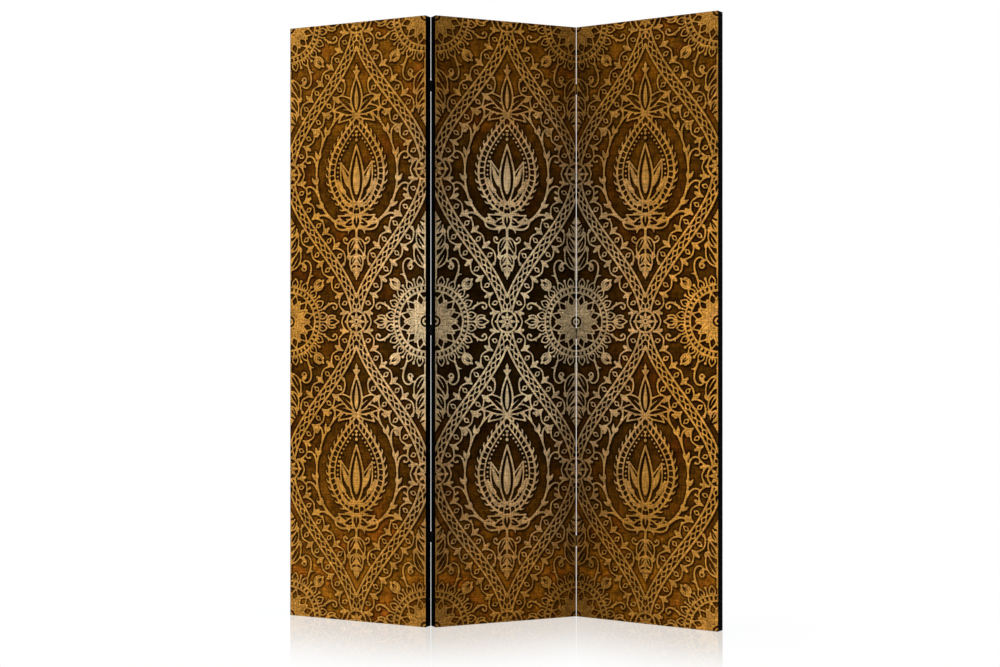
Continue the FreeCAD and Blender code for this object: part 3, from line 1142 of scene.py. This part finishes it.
def wood_look(name, pale, dark, turn, upright):
    """Planed wood with its grain along the piece."""
    look = Look(name, specular=0.3)
    along = (1, 1, 0.06) if upright else (0.06, 1, 1)
    place = look.stretched(look.object_place(), along, turn)
    wander = look.noise(place, 9, 3, 0.5)
    rings = {"Vector": place, "Scale": 38, "Distortion": 7, "Detail": 2}
    wave = look.add("TexWave", rings, bands_direction="Y").outputs[1]
    pores = look.noise(place, 700, 2, 0.6)
    grain = look.math("MULTIPLY_ADD", wave, 0.6, look.product(wander, 0.5), clamp=True)
    base = look.blend(grain, pale, dark)
    base = look.shade(base, look.ramp(pores, 0.3, 0.7, 0.86, 1.06))
    roughness = look.scaled(grain, -0.15, 0.72)
    return look.finish(base, roughness, look.math("ADD", pores, wave), 0.0001)


def zinc_look():
    """Zinc-plated wire: drawn lines, dull patches."""
    look = Look("zinc wire", metallic=1)
    place = look.object_place()
    patches = look.noise(place, 300, 3, 0.6)
    lines = look.noise(look.stretched(place, (1, 1, 12)), 900, 2, 0.5)
    base = look.blend(look.ramp(patches, 0.35, 0.7), colour(196, 197, 196), colour(150, 152, 154))
    return look.finish(base, look.ramp(lines, 0.3, 0.7, 0.28, 0.5), lines, 0.00002)


def black_steel_look(name, wear):
    """Black satin paint, a little worn on its edges."""
    look = Look(name, specular=0.2)
    place = look.object_place()
    peel = look.noise(place, 1400, 2, 0.5)
    smears = look.noise(place, 160, 4, 0.6)
    edges = look.out("Bevel", {"Radius": 0.0006}, samples=4)
    normals = {0: edges, 1: look.add("NewGeometry").outputs["Normal"]}
    facing = look.add("VectorMath", normals, operation="DOT_PRODUCT").outputs["Value"]
    rubbed = look.product(look.ramp(facing, 0.98, 0.85), look.ramp(smears, 0.5, 0.75, 0, wear))
    paint = look.blend(smears, colour(6, 6, 6), colour(12, 12, 12))
    base = look.blend(rubbed, paint, colour(70, 68, 64))
    return look.finish(base, look.ramp(smears, 0.3, 0.7, 0.34, 0.52), peel, 0.00003)


def floor_look():
    """White, with a gloss and a faint shadow that fade outwards."""
    look = Graph(bpy.data.materials.new("floor"))
    shade = look.kept("shade", "Fac")
    sheen = look.kept("sheen", "Fac")
    not_mirrored = (*[1 - c for c in FLOOR_GLOSS[:3]], 1)
    glow = {"Color": look.blend(sheen, WHITE, not_mirrored)}
    mirror = {"Color": look.blend(sheen, BLACK, FLOOR_GLOSS), "Roughness": FLOOR_ROUGHNESS}
    white = look.out("Emission", glow)
    matt = look.out("BsdfDiffuse", {"Color": MATT_WHITE})
    gloss = look.out("BsdfGlossy", mirror)
    shaded = look.out("MixShader", {0: shade, 1: white, 2: matt})
    shiny = look.out("AddShader", {0: shaded, 1: gloss})
    shown = {0: look.shows_white(), 1: matt, 2: shiny}
    look.add("OutputMaterial", {0: look.add("MixShader", shown).outputs[0]})
    return look.owner


# The screen


def print_values(points):
    """The print's stroke and ground values at some points."""
    x, z = points[:, 0], points[:, 2]
    lines = Drawing(ornament())
    strokes = lines.nearest(x, z, 18)
    cast = lines.nearest(x + SHADOW_SHIFT[0], z + SHADOW_SHIFT[1], 10)[:, 2]
    scales = Drawing(net()).nearest(x, z, 8)[:, 2]
    return strokes, in_space(table(cast, scales))


def build_canvases():
    shape = Shape()
    last = printed_face(shape)
    printed = len(shape.faces)
    face_points = len(shape.points)
    wrap_and_hem(shape, last)
    values = np.zeros((2, len(shape.points), 3))
    values[:, :face_points] = print_values(shape.points[:face_points])
    looks = (PrintLook().printed(), black_canvas_look())
    for index, panel in enumerate(PANELS):
        points = placed(swollen(shape.points, panel), panel)
        canvas = new_mesh(panel + "_canvas", points, shape.faces, panel)
        for look in looks:
            canvas.data.materials.append(look)
        slots = np.zeros(len(shape.faces), np.int32)
        slots[printed:] = 1
        canvas.data.polygons.foreach_set("material_index", slots)
        store(canvas, "cloth", in_space(shape.cloth + ((index - 1) * PANEL_WIDTH, 0)) * METRES)
        store(canvas, "stroke", values[0])
        store(canvas, "ground", values[1])
        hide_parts(panel + "_printed_canvas")


def build_backings():
    shape = backing_shape()
    look = backing_look()
    for panel in PANELS:
        backing = new_mesh(panel + "_back", placed(shape.points, panel), shape.faces, panel)
        backing.data.materials.append(look)
        store(backing, "cloth", in_space(shape.cloth) * METRES)
        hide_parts(panel + "_backing_cloth")


def dress(start, looks):
    """Gives CAD nodes that start so the look whose word they have."""
    for name, node in frame["nodes"].items():
        fitting = [look for word, look in looks.items() if name.startswith(start) and word in name]
        if fitting:
            node.data.materials.clear()
            node.data.materials.append(fitting[0])


def dress_cad_nodes():
    pale_pine, dark_pine = colour(226, 192, 140), colour(186, 140, 84)
    upright = wood_look("pine upright", pale_pine, dark_pine, 0, True)
    beech = wood_look("beech", colour(206, 166, 122), colour(172, 126, 84), 0, False)
    zinc = zinc_look()
    metal = {
        "leaf": black_steel_look("black hinge", 0.25),
        "pin": black_steel_look("black pin", 0.2),
        "screws": black_steel_look("black screw", 0.4),
    }
    # Zinc also goes on the cloth nodes, which the scene's own pieces replace.
    for panel in PANELS:
        turn = -panel_turn(panel).to_euler().z
        lying = wood_look(panel + " pine", pale_pine, dark_pine, turn, False)
        dress(panel, {"stile": upright, "rail": lying, "dowels": beech, "": zinc})
    for fold in ("left_fold", "right_fold"):
        dress(fold, metal)


# The studio


def build_camera():
    data = bpy.data.cameras.new("camera")
    data.lens = CAMERA_LENS
    data.shift_x, data.shift_y = CAMERA_SHIFT
    data.clip_end = CAMERA_REACH
    camera = add_object("camera", data)
    camera.location = CAMERA_PLACE
    camera.rotation_euler = (UP, 0, -CAMERA_YAW)
    bpy.context.scene.camera = camera


def foot_lines():
    """The two ends of each panel's foot, in metres."""
    ends = np.array([[-PANEL_WIDTH / 2, 0, 0], [PANEL_WIDTH / 2, 0, 0]])
    return [placed(ends, panel)[:, :2] * METRES for panel in PANELS]


def build_floor():
    """A fine patch under the screen in a wide plain floor."""
    near = np.linspace(-FLOOR_PATCH, FLOOR_PATCH, FLOOR_CELLS + 1)
    far = np.array(FLOOR_FAR)
    axis = np.concatenate([-far[::-1], near, far])
    x, y = (q.ravel() for q in np.meshgrid(axis, axis))
    gap = np.full(len(x), math.inf)
    for a, b in foot_lines():
        run = b - a
        t = np.clip(((x - a[0]) * run[0] + (y - a[1]) * run[1]) / (run @ run), 0, 1)
        gap = np.minimum(gap, np.hypot(x - a[0] - t * run[0], y - a[1] - t * run[1]))
    points = in_space(table(x, y)) / METRES
    floor = new_mesh("floor", points, grid_faces(len(axis), len(axis)))
    store(floor, "sheen", FLOOR_SHEEN * eased(share(gap, SHEEN_REACH, SHEEN_START)))
    store(floor, "shade", FLOOR_SHADE * share(gap, SHADE_REACH, 0) ** SHADE_POWER)
    floor.data.materials.append(floor_look())


def build_lights():
    for name, place, aim, size, power in LAMPS:
        data = bpy.data.lights.new(name, "AREA")
        data.shape = "DISK"
        data.size = size
        data.energy = power
        lamp = add_object(name, data)
        lamp.visible_glossy = False
        lamp.location = place
        lamp.rotation_mode = "QUATERNION"
        lamp.rotation_quaternion = (Vector(aim) - Vector(place)).to_track_quat("-Z", "Y")


def build_world():
    """White to look at, and a softer white light."""
    world = Graph(bpy.data.worlds.new("studio"))
    inputs = {"Value": world.shows_white(), "To Min": WORLD_LIGHT, "To Max": 1}
    strength = world.out("MapRange", inputs)
    light = world.out("Background", {"Color": WHITE, "Strength": strength})
    world.add("OutputWorld", {0: light})
    bpy.context.scene.world = world.owner


build_camera()
build_world()
build_lights()
build_floor()
build_canvases()
build_backings()
dress_cad_nodes()
bpy.context.scene.view_settings.view_transform = "Standard"
